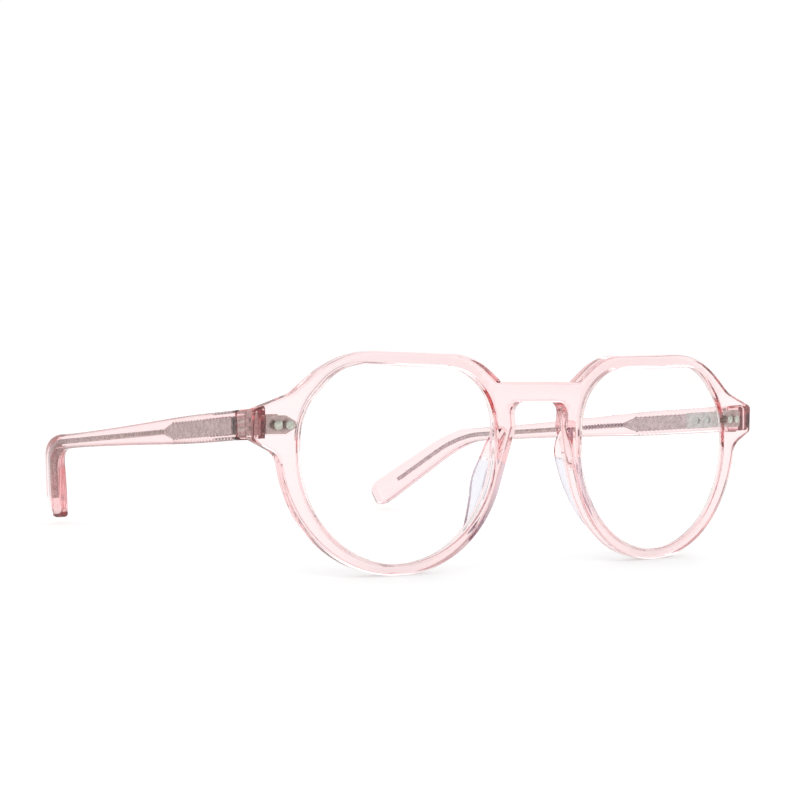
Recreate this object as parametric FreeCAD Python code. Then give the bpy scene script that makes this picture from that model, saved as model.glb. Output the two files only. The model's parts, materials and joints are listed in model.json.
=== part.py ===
import FreeCAD, Part

# Full-rim spectacles with a crystal acetate front, two folding temples with a metal core, and
# five-barrel hinges. Millimetres. +X is the wearer's left, -Y is the way the wearer looks and
# +Z is up. The parts are drawn with the front upright and its face through the origin, and
# stand() then sets the finished glasses on the ground with the origin under their middle.
import math
import os

V = FreeCAD.Vector

# ---- driving dimensions ----
FRONT_RADIUS = 437.0        # wrap of the whole front, seen from above
BACK_RADIUS = 559.0         # wrap of the front's back, flatter, so the rims thin towards the ends
BRIDGE_DEPTH = 3.9          # thickness of the front at the middle of the bridge
FRONT_EDGE_ROUND = 0.6
HALF_WIDTH = 71.7           # middle of the bridge to the outside of an end piece
BRIDGE_TOP = 40.6
KEYHOLE_TOP = 36.1

OPENING_INNER = 12.5        # nose side of a lens opening
OPENING_OUTER = 60.8        # temple side of a lens opening
OPENING_BOTTOM = 2.3
OPENING_TOP = 44.2

LENS_RADIUS = 130.0         # middle surface of the curved lens
LENS_THICKNESS = 2.0
LENS_VERTEX = 1.6           # how far the lens's middle surface stands behind Y = 0 at its centre
LENS_EDGE_GAP = 0.08
TONGUE = 0.6                # lens edge that sits in the rim's groove
TONGUE_THICKNESS = 0.7
GROOVE_SPARE = 0.08

HINGE_X = 66.4              # hinge axis, left side
HINGE_Y = 12.2
HINGE_Z = 31.45
HINGE_TILT = 5.1            # degrees between the temples and the front's square
STAND_TILT = 0.972          # degrees that the front leans back when it stands on rims and tips
STAND_LIFT = 0.08
STAND_BACK = 64.5           # from the front's face to the middle of the open glasses
BARREL_RADIUS = 1.3
BARREL_PITCH = 0.8
BARREL_GAP = 0.06
BARRELS = 5
SCREW_RADIUS = 0.6
SCREW_HOLE_RADIUS = 0.66
SCREW_HEAD_RADIUS = 1.05
SCREW_HEAD_HEIGHT = 0.6
SCREW_TIP = 0.2             # end of the screw below the lowest barrel
SLOT_WIDTH = 0.3
SLOT_DEPTH = 0.3

LEAF_THICKNESS = 0.9
LEAF_HEIGHT = 3.8
FRONT_LEAF_INNER = 61.3     # pointed end of the leaf sunk in the front
FRONT_LEAF_OUTER = 68.0
LEAF_POINT = 2.2            # length of the leaf's tapered end
LEAF_NOSE = 0.7             # half height of the leaf's blunt point
TEMPLE_LEAF_START = 0.3
TEMPLE_LEAF_END = 11.5
TEMPLE_RIVET_V = (5.2, 8.4)
TEMPLE_RIVET_RADIUS = 0.45
TEMPLE_RIVET_HEAD = 0.8
TEMPLE_RIVET_HEAD_HEIGHT = 0.3
TEMPLE_RIVET_LENGTH = 1.7   # ends just short of the core
RIVET_X = (63.4, 66.0)
RIVET_Z = 31.7
RIVET_RADIUS = 0.5
RIVET_LENGTH = 2.5
RIVET_HEAD_RADIUS = 0.95
RIVET_HEAD_HEIGHT = 0.3
RIVET_SINK = 0.4            # full width of the head, sunk in the front

# Temple frame: u is outwards, v runs back along the temple and w is up, from the hinge axis.
TEMPLE_CONVERGENCE = 4.3    # degrees inwards
TEMPLE_INNER = 1.4          # inner face, from the hinge axis
TEMPLE_THICKNESS = 3.9
JOINT_V = -0.6              # end face of the front's end piece
END_START = -5.5            # where the end piece's stub starts inside the front
END_LOW = -2.9
END_HIGH = 3.15
END_ROUND = 1.1
LUG_START = -4.9            # root of the front barrels' lugs, inside the front leaf
LUG_STEP = 0.1              # step between a front lug's outer side and its barrel
TEMPLE_LUG_END = 2.4
JOINT_GAP = 0.15
BEND_START = 85.5
BEND_SPAN = 14.0
TEMPLE_END = 117.6
BEND_INWARD = 24.7          # degrees, seen from above
BEND_DOWN = 33.8            # degrees, seen from the side
TEMPLE_HALF_HEIGHT = ((-0.5, 3.1), (22.0, 3.0), (44.0, 2.4), (66.0, 1.9), (85.5, 1.8),
                      (99.5, 2.9), (113.0, 3.5))
TEMPLE_HALF_WIDTH = ((-0.5, 1.95), (44.0, 1.85), (85.5, 1.65), (99.5, 1.9), (113.0, 2.0))
TEMPLE_EDGE_ROUND = 0.9
TEMPLE_STATIONS = (JOINT_V + JOINT_GAP, 11, 22, 33, 44, 55, 66, 76, 84, 90, 95, 100, 106, 112, TEMPLE_END)
TIP_BULGE_SIDE = 1.6        # roundness of the temple's tip, in its side view
TIP_BULGE_TOP = 1.0

BLADE_START = 2.5
BLADE_END = 28.625
BLADE_POINT = 32.5
BLADE_HALF_HEIGHT = 1.75
BLADE_THICKNESS = 1.0
TOOTH_PITCH = 1.375
TOOTH_DEPTH = 0.3
TOOTH_LAND = 0.5            # flat top of a tooth, as a share of the pitch
TOOTH_FLANK = 0.1
WIRE_RADIUS = 0.6
WIRE_END = 111.0
WIRE_BEND_RADIUS = 26.0
WIRE_LAP = 1.5              # start of the wire inside the blade's point

PAD_FLARE = 0.16            # outward lean of the nose fin for each millimetre back
PAD_THICKNESS = 2.5
PAD_TOP = 23.6              # the fin is the front's own acetate above this and clear below
PAD_REACH = 15.0            # deeper than the fin, before its free edge is cut
WING_SINK = 1.5             # root of the fin's upper part inside the front
PAD_FOOT = ((7.9, 30.5), (8.2, 28.0), (8.7, 24.5), (10.3, 20.5), (12.3, 15.0), (15.0, 10.0),
            (18.6, 6.0))    # (x, z) of the fin's nose side in the plane of the front's face
PAD_SIDE = ((3.0, 31.6), (6.7, 27.0), (8.0, 20.5), (7.0, 15.0), (5.0, 9.0),
            (2.6, 4.5))     # (y, z) of the fin's free edge

THROUGH = 60.0              # half length of a cutter that goes right through
NEAR = 1e-6                 # two lengths this close are the same

# Outline corners (x, z, radius) of the left half of the front, from the bridge's top round to
# the top of the keyhole.
FRONT_CORNERS = (
    (11.0, BRIDGE_TOP, 0.8), (18.7, 46.4, 16.0), (51.3, 47.1, 24.0), (62.9, 38.0, 6.0),
    (HALF_WIDTH, 34.8, 1.2), (HALF_WIDTH, 28.6, 1.2), (65.6, 25.6, 4.0), (60.5, 0.0, 28.0),
    (17.1, 0.0, 26.0), (8.7, 25.8, 8.0), (7.0, 30.8, 1.2), (7.7, KEYHOLE_TOP, 2.4),
)
OPENING_CORNERS = (
    (OPENING_OUTER, OPENING_BOTTOM, 24.0), (OPENING_OUTER, 34.2, 14.0), (51.2, OPENING_TOP, 12.0),
    (OPENING_INNER, 43.2, 13.0), (OPENING_INNER, OPENING_BOTTOM, 24.0),
)


# ---- helpers ----
def rounded_wire(corners):
    """Closed wire in the XZ plane through corners (x, z, radius), each rounded by an arc."""
    count = len(corners)
    starts, ends, mids = [], [], []
    for i in range(count):
        x, z, radius = corners[i]
        here = V(x, 0, z)
        back = V(corners[i - 1][0], 0, corners[i - 1][1]) - here
        ahead = V(corners[(i + 1) % count][0], 0, corners[(i + 1) % count][1]) - here
        half = back.getAngle(ahead) / 2
        back.normalize()
        ahead.normalize()
        reach = radius / math.tan(half)
        middle = back + ahead
        middle.normalize()
        starts.append(here + back * reach)
        ends.append(here + ahead * reach)
        mids.append(here + middle * (radius / math.sin(half) - radius))
    edges = []
    for i in range(count):
        edges.append(Part.Arc(starts[i], mids[i], ends[i]).toShape())
        following = starts[(i + 1) % count]
        if ends[i].distanceToPoint(following) > NEAR:
            edges.append(Part.makeLine(ends[i], following))
    return Part.Wire(edges)


def prism(wire):
    """Solid of an XZ outline, deeper than everything it cuts."""
    face = Part.Face(wire)
    face.translate(V(0, -THROUGH, 0))
    return face.extrude(V(0, 2 * THROUGH, 0))


def offset_wire(wire, amount):
    return Part.Face(wire).makeOffset2D(amount).OuterWire


def box(x0, x1, y0, y1, z0, z1):
    return Part.makeBox(x1 - x0, y1 - y0, z1 - z0, V(x0, y0, z0))


def behind_face():
    """Everything behind the front's curved face."""
    return Part.makeCylinder(FRONT_RADIUS, 2 * THROUGH, V(0, FRONT_RADIUS, -THROUGH / 2), V(0, 0, 1))


def behind_back(depth=0.0):
    """Everything behind a surface that lies depth in front of the front's back."""
    centre = V(0, BRIDGE_DEPTH + BACK_RADIUS, -THROUGH / 2)
    return Part.makeCylinder(BACK_RADIUS + depth, 2 * THROUGH, centre, V(0, 0, 1))


def face_y(x):
    return FRONT_RADIUS - math.sqrt(FRONT_RADIUS ** 2 - x ** 2)


def lens_shell(thickness):
    """Curved shell about the left lens's middle surface."""
    x = (OPENING_INNER + OPENING_OUTER) / 2
    z = (OPENING_BOTTOM + OPENING_TOP) / 2
    lean = math.asin(x / FRONT_RADIUS)
    centre = V(x - LENS_RADIUS * math.sin(lean), LENS_VERTEX + LENS_RADIUS * math.cos(lean), z)
    outer = Part.makeSphere(LENS_RADIUS + thickness / 2, centre)
    inner = Part.makeSphere(LENS_RADIUS - thickness / 2, centre)
    return outer.cut(inner)


def to_hinge(shape):
    """Move a shape from the hinge's own frame to its place on the left side."""
    placed = shape.copy()
    placed.rotate(V(0, 0, 0), V(1, 0, 0), -HINGE_TILT)
    placed.translate(V(HINGE_X, HINGE_Y, HINGE_Z))
    return placed


def to_temple(shape):
    """Move a shape from the temple's frame to its place on the left side."""
    placed = shape.copy()
    placed.rotate(V(0, 0, 0), V(0, 0, 1), TEMPLE_CONVERGENCE)
    return to_hinge(placed)


def stand(shape):
    """Lean the finished glasses so that they stand on both rims and both temple tips."""
    placed = shape.copy()
    placed.rotate(V(0, 0, 0), V(1, 0, 0), -STAND_TILT)
    placed.translate(V(0, -STAND_BACK, STAND_LIFT))
    return placed


def mirrored(shape):
    return shape.mirror(V(0, 0, 0), V(1, 0, 0))


def one_solid(shape):
    solids = sorted(shape.Solids, key=lambda s: s.Volume)
    return solids[-1]


# ---- front ----
def front_outline():
    left = list(FRONT_CORNERS)
    right = [(-x, z, radius) for x, z, radius in reversed(left)]
    return rounded_wire(left + right)


def end_block():
    """The end piece's stub that meets the temple, in the hinge's frame."""
    outer = HALF_WIDTH - HINGE_X
    block = box(TEMPLE_INNER, outer, END_START, JOINT_V, END_LOW, END_HIGH)
    outside = [e for e in block.Edges if all(abs(v.X - outer) < NEAR for v in e.Vertexes)]
    corners = [e for e in outside if abs(e.Length - (JOINT_V - END_START)) < NEAR]
    return block.makeFillet(END_ROUND, corners)


def is_cross_edge(edge):
    """An edge that runs from the front's face to its back."""
    span = edge.Vertexes[-1].Point - edge.Vertexes[0].Point
    return abs(span.y) > 0.9 * span.Length and span.Length > 1


def front_frame(leaf, rivets):
    opening = rounded_wire(OPENING_CORNERS)
    plate = prism(front_outline()).common(behind_face()).cut(behind_back())
    for cutter in (prism(opening), mirrored(prism(opening))):
        plate = plate.cut(cutter)
    plate = one_solid(plate)
    plate = plate.makeFillet(FRONT_EDGE_ROUND, [e for e in plate.Edges if not is_cross_edge(e)])
    groove_wire = offset_wire(opening, TONGUE + GROOVE_SPARE)
    groove = prism(groove_wire).common(lens_shell(TONGUE_THICKNESS + GROOVE_SPARE))
    block = to_hinge(end_block())
    wing = one_solid(nose_fin().cut(below_pad_top()).common(behind_back(WING_SINK)))
    for side in (lambda s: s, mirrored):
        plate = plate.fuse(side(block)).fuse(side(wing))
        plate = plate.cut(side(groove)).cut(side(leaf)).cut(side(rivets))
    return one_solid(plate)


def lens():
    opening = rounded_wire(OPENING_CORNERS)
    body = prism(offset_wire(opening, -LENS_EDGE_GAP)).common(lens_shell(LENS_THICKNESS))
    tongue = prism(offset_wire(opening, TONGUE)).common(lens_shell(TONGUE_THICKNESS))
    return one_solid(body.fuse(tongue).removeSplitter())


def nose_fin():
    """The whole fin behind the nose side of the left rim, from the bridge down."""
    edges = []
    for shift in (0.0, PAD_THICKNESS):
        line = Part.BSplineCurve()
        line.interpolate([V(x + shift, 0, z) for x, z in PAD_FOOT])
        edges.append(line.toShape())
    for end in (0, -1):
        edges.append(Part.makeLine(edges[0].Vertexes[end].Point, edges[1].Vertexes[end].Point))
    foot = Part.Face(Part.Wire(Part.sortEdges(edges)[0]))
    fin = foot.extrude(V(PAD_FLARE, 1, 0) * PAD_REACH)
    side = Part.BSplineCurve()
    side.interpolate([V(0, y, z) for y, z in PAD_SIDE])
    curve = side.toShape()
    closing = Part.makeLine(curve.Vertexes[-1].Point, curve.Vertexes[0].Point)
    profile = Part.Face(Part.Wire([curve, closing]))
    return one_solid(fin.common(profile.extrude(V(THROUGH, 0, 0))))


def below_pad_top():
    return box(-THROUGH, THROUGH, -THROUGH, THROUGH, -THROUGH, PAD_TOP)


def nose_pad():
    """Clear lower part of the fin, bonded to the back of the left rim."""
    return one_solid(nose_fin().common(below_pad_top()).common(behind_back()))


# ---- hinge ----
def barrel_level(index):
    return (index - (BARRELS - 1) / 2) * BARREL_PITCH


def barrel(index):
    height = BARREL_PITCH - BARREL_GAP
    return Part.makeCylinder(BARREL_RADIUS, height, V(0, 0, barrel_level(index) - height / 2))


def screw_hole():
    return Part.makeCylinder(SCREW_HOLE_RADIUS, 2 * THROUGH, V(0, 0, -THROUGH))


def front_leaf_plate():
    """Leaf of the hinge that lies in the back of the front, pointed towards the lens."""
    half = LEAF_HEIGHT / 2
    shoulder = FRONT_LEAF_INNER + LEAF_POINT
    upper = ((FRONT_LEAF_INNER, LEAF_NOSE, 0.3), (shoulder, half, 0.5), (FRONT_LEAF_OUTER, half, 0.3))
    lower = [(x, -z, radius) for x, z, radius in reversed(upper)]
    outline = [(x, RIVET_Z + z, radius) for x, z, radius in list(upper) + lower]
    return one_solid(prism(rounded_wire(outline)).common(
        behind_back(LEAF_THICKNESS)).cut(behind_back()))


def front_hinge():
    height = BARREL_PITCH - BARREL_GAP
    shape = front_leaf_plate()
    for index in range(0, BARRELS, 2):
        low = barrel_level(index) - height / 2
        lug = box(-BARREL_RADIUS, BARREL_RADIUS - LUG_STEP, LUG_START, 0, low, low + height)
        shape = shape.fuse(to_hinge(lug.fuse(barrel(index))))
    shape = shape.cut(to_hinge(screw_hole()))
    return one_solid(shape.removeSplitter())


def temple_hinge():
    """Leaf and two barrels that go with the temple, in the temple's frame."""
    height = BARREL_PITCH - BARREL_GAP
    half = LEAF_HEIGHT / 2
    shape = box(TEMPLE_INNER, TEMPLE_INNER + LEAF_THICKNESS, TEMPLE_LEAF_START, TEMPLE_LEAF_END,
                -half, half)
    for index in range(1, BARRELS, 2):
        low = barrel_level(index) - height / 2
        lug = box(0, TEMPLE_INNER + LEAF_THICKNESS / 2, TEMPLE_LEAF_START, TEMPLE_LUG_END, low, low + height)
        shape = shape.fuse(lug).fuse(barrel(index))
    return one_solid(shape.cut(screw_hole()).removeSplitter())


def hinge_screw():
    top = BARRELS * BARREL_PITCH / 2
    end = top + SCREW_HEAD_HEIGHT
    shank = Part.makeCylinder(SCREW_RADIUS, 2 * top + SCREW_TIP, V(0, 0, -top - SCREW_TIP))
    head = Part.makeCylinder(SCREW_HEAD_RADIUS, SCREW_HEAD_HEIGHT, V(0, 0, top))
    slot = box(-THROUGH, THROUGH, -SLOT_WIDTH / 2, SLOT_WIDTH / 2, end - SLOT_DEPTH, THROUGH)
    return one_solid(shank.fuse(head).cut(slot).removeSplitter())


def domed_pin(length):
    """Pin along +Y with a low domed head whose rim is at Y = 0."""
    sphere = (RIVET_HEAD_RADIUS ** 2 + RIVET_HEAD_HEIGHT ** 2) / (2 * RIVET_HEAD_HEIGHT)
    dome = Part.makeSphere(sphere, V(0, sphere - RIVET_HEAD_HEIGHT, 0))
    head = dome.common(box(-THROUGH, THROUGH, -THROUGH, 0, -THROUGH, THROUGH))
    sunk = Part.makeCylinder(RIVET_HEAD_RADIUS, RIVET_SINK, V(0, 0, 0), V(0, 1, 0))
    shank = Part.makeCylinder(RIVET_RADIUS, length, V(0, 0, 0), V(0, 1, 0))
    return one_solid(head.fuse(sunk).fuse(shank).removeSplitter())


def front_rivets():
    pins = []
    for x in RIVET_X:
        pin = domed_pin(RIVET_LENGTH)
        pin.rotate(V(0, 0, 0), V(0, 0, 1), math.degrees(math.asin(x / FRONT_RADIUS)))
        pin.translate(V(x, face_y(x), RIVET_Z))
        pins.append(pin)
    return Part.makeCompound(pins)


def temple_rivets():
    """Two pins that hold the leaf, in the temple's frame."""
    pins = []
    for v in TEMPLE_RIVET_V:
        start = V(TEMPLE_INNER - TEMPLE_RIVET_HEAD_HEIGHT, v, 0)
        head = Part.makeCylinder(TEMPLE_RIVET_HEAD, TEMPLE_RIVET_HEAD_HEIGHT, start, V(1, 0, 0))
        shank = Part.makeCylinder(TEMPLE_RIVET_RADIUS, TEMPLE_RIVET_LENGTH, start, V(1, 0, 0))
        pins.append(one_solid(head.fuse(shank).removeSplitter()))
    return Part.makeCompound(pins)


# ---- temple ----
def bend(v, angle):
    """Sideways offset and slope angle of the temple's middle line at v, for one bend."""
    radius = BEND_SPAN / math.sin(math.radians(angle))
    if v <= BEND_START:
        return 0.0, 0.0
    if v >= BEND_START + BEND_SPAN:
        drop = radius * (1 - math.cos(math.radians(angle)))
        rest = v - BEND_START - BEND_SPAN
        return drop + rest * math.tan(math.radians(angle)), math.radians(angle)
    turn = math.asin((v - BEND_START) / radius)
    return radius * (1 - math.cos(turn)), turn


def between(table, v):
    """Value at v, straight between a table's points."""
    for (v0, a0), (v1, a1) in zip(table, table[1:]):
        if v <= v1:
            return a0 + (a1 - a0) * (v - v0) / (v1 - v0)
    return table[-1][1]


def ribbon(angle, widths, middle):
    """Outline points of one view of the temple: (v, offset) up one side and down the other."""
    far, near = [], []
    for v in TEMPLE_STATIONS:
        drop, turn = bend(v, angle)
        half = between(widths, v)
        far.append((v + half * math.sin(turn), middle - drop + half * math.cos(turn)))
        near.append((v - half * math.sin(turn), middle - drop - half * math.cos(turn)))
    return far, near


def ribbon_face(angle, widths, middle, place, bulge):
    far, near = ribbon(angle, widths, middle)
    upper = Part.BSplineCurve()
    upper.interpolate([place(*p) for p in far])
    lower = Part.BSplineCurve()
    lower.interpolate([place(*p) for p in near])
    tip_middle = ((far[-1][0] + near[-1][0]) / 2, (far[-1][1] + near[-1][1]) / 2)
    turn = math.radians(angle)
    nose = place(tip_middle[0] + bulge * math.cos(turn), tip_middle[1] - bulge * math.sin(turn))
    tip = Part.Arc(place(*far[-1]), nose, place(*near[-1])).toShape()
    root = Part.makeLine(place(*near[0]), place(*far[0]))
    return Part.Face(Part.Wire([upper.toShape(), tip, lower.toShape(), root]))


def temple_blank():
    """The bare acetate arm: its side view and its top view, each cut through the other."""
    side = ribbon_face(BEND_DOWN, TEMPLE_HALF_HEIGHT, 0.0, lambda v, w: V(-THROUGH, v, w), TIP_BULGE_SIDE)
    middle = TEMPLE_INNER + TEMPLE_THICKNESS / 2
    top = ribbon_face(
        BEND_INWARD, TEMPLE_HALF_WIDTH, middle, lambda v, u: V(u, v, -THROUGH), TIP_BULGE_TOP)
    arm = side.extrude(V(2 * THROUGH, 0, 0)).common(top.extrude(V(0, 0, 2 * THROUGH)))
    return one_solid(arm)


def temple_core():
    """Flat toothed blade that narrows to a round wire, in the temple's frame."""
    middle = TEMPLE_INNER + TEMPLE_THICKNESS / 2
    half = BLADE_HALF_HEIGHT
    teeth = int(round((BLADE_END - BLADE_START) / TOOTH_PITCH))
    upper = []
    for i in range(teeth):
        v = BLADE_START + i * TOOTH_PITCH
        land = v + TOOTH_LAND * TOOTH_PITCH
        flank = TOOTH_FLANK * TOOTH_PITCH
        upper += [(v, half), (land, half), (land + flank, half - TOOTH_DEPTH)]
        upper.append((v + TOOTH_PITCH - flank, half - TOOTH_DEPTH))
    upper.append((BLADE_END, half))
    outline = upper + [(BLADE_POINT, WIRE_RADIUS), (BLADE_POINT, -WIRE_RADIUS)]
    outline += [(v, -w) for v, w in reversed(upper)]
    start = middle - BLADE_THICKNESS / 2
    points = [V(start, v, w) for v, w in outline]
    blade = Part.Face(Part.makePolygon(points + points[:1])).extrude(V(BLADE_THICKNESS, 0, 0))
    return one_solid(blade.fuse(core_wire(middle)).removeSplitter())


def core_wire(middle):
    """Round wire on the temple's middle line: straight, one arc, straight."""
    bend_at = BEND_START + BEND_SPAN / 2
    corner = V(middle, bend_at, 0)
    side, _ = bend(WIRE_END, BEND_INWARD)
    down, _ = bend(WIRE_END, BEND_DOWN)
    end = V(middle - side, WIRE_END, -down)
    start = V(middle, BLADE_POINT - WIRE_LAP, 0)
    ahead = end - corner
    ahead.normalize()
    turn = V(0, 1, 0).getAngle(ahead)
    reach = WIRE_BEND_RADIUS * math.tan(turn / 2)
    inward = ahead - V(0, 1, 0)
    inward.normalize()
    arc_start = corner - V(0, 1, 0) * reach
    arc_end = corner + ahead * reach
    arc_middle = corner + inward * (WIRE_BEND_RADIUS / math.cos(turn / 2) - WIRE_BEND_RADIUS)
    path = Part.Wire([Part.makeLine(start, arc_start), Part.Arc(arc_start, arc_middle, arc_end).toShape(),
                      Part.makeLine(arc_end, end)])
    section = Part.Wire(Part.makeCircle(WIRE_RADIUS, start, V(0, 1, 0)))
    return path.makePipeShell([section], True, False)


def temple(hinge, rivets, core):
    arm = temple_blank()
    edges = [e for e in arm.Edges if e.Length > TEMPLE_END / 2]
    arm = arm.makeFillet(TEMPLE_EDGE_ROUND, edges)
    return one_solid(arm.cut(hinge).cut(rivets).cut(core))


# ---- build ----
def build():
    parts = {}
    leaf = front_hinge()
    rivets = front_rivets()
    arm_hinge, arm_rivets, core = temple_hinge(), temple_rivets(), temple_core()
    parts["front_frame"] = front_frame(leaf, rivets)
    pieces = {
        "lens": lens(),
        "nose_pad": nose_pad(),
        "front_hinge": leaf.cut(rivets),
        "front_rivets": rivets,
        "hinge_screw": to_hinge(hinge_screw()),
        "temple": to_temple(temple(arm_hinge, arm_rivets, core)),
        "temple_core": to_temple(core),
        "temple_hinge": to_temple(arm_hinge.cut(arm_rivets)),
        "temple_rivets": to_temple(arm_rivets),
    }
    for name, shape in pieces.items():
        parts[name + "_left"] = shape
        parts[name + "_right"] = mirrored(shape)
    return {name: stand(shape) for name, shape in parts.items()}


def print_hinge():
    """The left hinge's centre and axis, for the joints."""
    centre = stand(to_hinge(Part.Vertex(0, 0, 0))).Point
    axis = stand(to_hinge(Part.Vertex(0, 0, 1))).Point - centre
    print("hinge centre", [round(c, 4) for c in centre], "axis", [round(c, 6) for c in axis])


def main():
    print_hinge()
    os.makedirs("parts", exist_ok=True)
    for name, shape in build().items():
        shape.exportStep("parts/" + name + ".step")
        size = shape.optimalBoundingBox()
        print("%-22s solids %d valid %s volume %.1f  x %.2f..%.2f y %.2f..%.2f z %.2f..%.2f" % (
            name, len(shape.Solids), shape.isValid(), shape.Volume, size.XMin, size.XMax,
            size.YMin, size.YMax, size.ZMin, size.ZMax))


main()
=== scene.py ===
import json
import math

import bmesh
import bpy
from bpy.props import FloatProperty, FloatVectorProperty, IntProperty, PointerProperty
from mathutils import Matrix, Vector


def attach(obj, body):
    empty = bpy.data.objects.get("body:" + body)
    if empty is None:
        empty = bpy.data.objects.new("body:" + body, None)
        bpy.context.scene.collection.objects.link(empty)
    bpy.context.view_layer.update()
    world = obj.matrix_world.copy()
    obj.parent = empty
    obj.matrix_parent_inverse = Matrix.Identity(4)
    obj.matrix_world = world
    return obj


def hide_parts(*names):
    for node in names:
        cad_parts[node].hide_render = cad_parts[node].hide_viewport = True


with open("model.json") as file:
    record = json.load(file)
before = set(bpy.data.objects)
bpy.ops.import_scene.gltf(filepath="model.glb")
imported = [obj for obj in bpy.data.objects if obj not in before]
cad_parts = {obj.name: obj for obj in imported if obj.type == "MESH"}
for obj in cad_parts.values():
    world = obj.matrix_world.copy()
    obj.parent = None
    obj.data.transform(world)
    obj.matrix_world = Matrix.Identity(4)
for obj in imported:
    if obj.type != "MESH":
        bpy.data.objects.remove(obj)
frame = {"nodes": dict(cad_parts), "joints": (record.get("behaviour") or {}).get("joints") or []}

bl_info = {
    "name": "Crystal Spectacles",
    "version": (1, 0, 0),
    "blender": (4, 5, 0),
    "location": "3D View > Sidebar > Spectacles",
    "description": "Builds crystal acetate spectacles around their packed frame",
    "category": "Add Mesh",
}

# Lengths of the spectacles are millimetres until finish_piece() sets a mesh in metres. The stage
# is in metres. Left is the wearer's left, on the +X side; the right side is its mirror image.
MM = 0.001
MIRROR = Matrix.Scale(-1, 4, (1, 0, 0))
SIDES = (("left", Matrix()), ("right", MIRROR))
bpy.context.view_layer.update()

# ---- the front, drawn upright with its face through the origin ----
FACE_RADIUS = 437.0
BACK_RADIUS = 559.0
BRIDGE_DEPTH = 3.9
FLAT_THICKNESS = 3.6        # the front's plate before it is bent to its face and back
HALF_WIDTH = 71.7
FRONT_CORNERS = (
    (11.0, 40.6, 0.8), (18.7, 46.4, 16.0), (51.3, 47.1, 24.0), (62.9, 38.0, 6.0),
    (HALF_WIDTH, 34.8, 1.2), (HALF_WIDTH, 28.6, 1.2), (65.6, 25.6, 4.0), (60.5, 0.0, 28.0),
    (17.1, 0.0, 26.0), (8.7, 25.8, 8.0), (7.0, 30.8, 1.2), (7.7, 36.1, 2.4),
)
OPENING_CORNERS = (
    (60.8, 2.3, 24.0), (60.8, 34.2, 14.0), (51.2, 44.2, 12.0), (12.5, 43.2, 13.0), (12.5, 2.3, 24.0),
)
LENS_CENTRE = (36.65, 23.25)
LENS_RADIUS = 130.0
LENS_VERTEX = 1.6
LENS_THICKNESS = 2.0
LENS_GAP = 0.08
LENS_EDGE_ROUND = 0.1
TONGUE = 0.6
TONGUE_THICKNESS = 0.7
TONGUE_EDGE_ROUND = 0.05
GROOVE_SPARE = 0.08
FIN_FOOT = (                # x and z where the fin meets the rim's back
    (7.9, 30.5), (8.2, 28.0), (8.7, 24.5), (10.3, 20.5), (12.3, 15.0), (15.0, 10.0), (18.6, 6.0),
)
FIN_SIDE = ((3.0, 31.6), (6.7, 27.0), (8.0, 20.5), (7.0, 15.0), (5.0, 9.0), (2.6, 4.5))  # y and z
FIN_FLARE = 0.16            # outward lean for each millimetre back
FIN_THICKNESS = 2.5
FIN_EDGE_ROUND = 0.9
WING_SINK = 0.6             # root of the fin's pink upper part inside the bridge's depth
PAD_TOP = 23.6
PAD_TOP_GAP = 0.04          # between the pink wing and the clear pad
PAD_SEAT_X = 13.0           # where the pad's flat seat is parallel to the front's back
PAD_SEAT_DEPTH = 0.2        # from the bridge's back to the seat at that x
RIVET_X = (63.4, 66.0)
RIVET_Z = 31.7
RIVET_RADIUS = 0.5
RIVET_LENGTH = 2.5
RIVET_HEAD_RADIUS = 0.95
RIVET_HEAD_HEIGHT = 0.3
RIVET_SINK = 0.4
LEAF_CORNERS = ((61.3, 0.7, 0.3), (63.5, 1.9, 0.5), (68.0, 1.9, 0.3))
LEAF_THICKNESS = 0.9
POCKET_BITE = 0.02          # how far the acetate's pocket lies inside the metal's surface
POCKET_DEPTH = 2.0          # from the pocket's floor to well behind the front
POCKET_EDGE_ROUND = 0.02
POCKET_ARC_STEP = math.radians(15)
END_BLOCK = ((1.4, 5.3), (-5.5, -0.6), (-2.9, 3.15))
END_ROUND = 1.1
END_ROUND_STEPS = 6

# ---- the temple: u is outwards, v runs back and w is up, from the hinge's axis ----
CONVERGENCE = math.radians(4.3)
TEMPLE_MIDDLE = 3.35
BEND_START = 85.5
BEND_SPAN = 14.0
TEMPLE_END = 117.6
BEND_INWARD = math.radians(24.7)
BEND_DOWN = math.radians(33.8)
HALF_HEIGHTS = (
    (-0.5, 3.1), (22.0, 3.0), (44.0, 2.4), (66.0, 1.9), (85.5, 1.8), (99.5, 2.9), (113.0, 3.5),
)
HALF_WIDTHS = ((-0.5, 1.95), (44.0, 1.85), (85.5, 1.65), (99.5, 1.9), (113.0, 2.0))

TEMPLE_START = -0.45
ROOT_ROUND = 0.2
TIP_ROUND = 3.0
TIP_NARROWING = (1.7, 2.2)  # how much the rounded tip takes off the half width and half height
TIP_BACK = 2.7              # from the end of the arm to the start of its rounded tip
TEMPLE_EDGE_ROUND = 0.9
CORNER_SHARE = 0.9          # most of a section's half width that one rounded corner takes
LEAF_SPAN = (0.3, 11.5)
LEAF_HALF_HEIGHT = 1.9
BLADE_START = 2.5
BLADE_END = 28.625
BLADE_POINT = 32.5
BLADE_HALF_HEIGHT = 1.75
BLADE_THICKNESS = 1.0
BLADE_EDGE_ROUND = 0.08
BLADE_TEETH = 19
TOOTH_PITCH = 1.375
TOOTH_DEPTH = 0.3
TOOTH_LAND = 0.5            # flat top of a tooth, as a share of the pitch
TOOTH_FLANK = 0.1
GAP_MIDDLE = 0.75           # middle of an air gap and its width, as shares of the pitch
GAP_WIDTH = 0.42
GAP_RISE = 0.1
GAP_DEPTH = 0.5
WIRE_RADIUS = 0.6
WIRE_END = 111.0
WIRE_LAP = 1.5              # start of the wire inside the blade's point
BEAD_PITCH = 1.1
BEAD_WAIST = 0.55           # thinnest part of a beaded wire, as a share of its radius
BEAD_SWELL = 0.6
BEADS_END = 52.0

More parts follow.
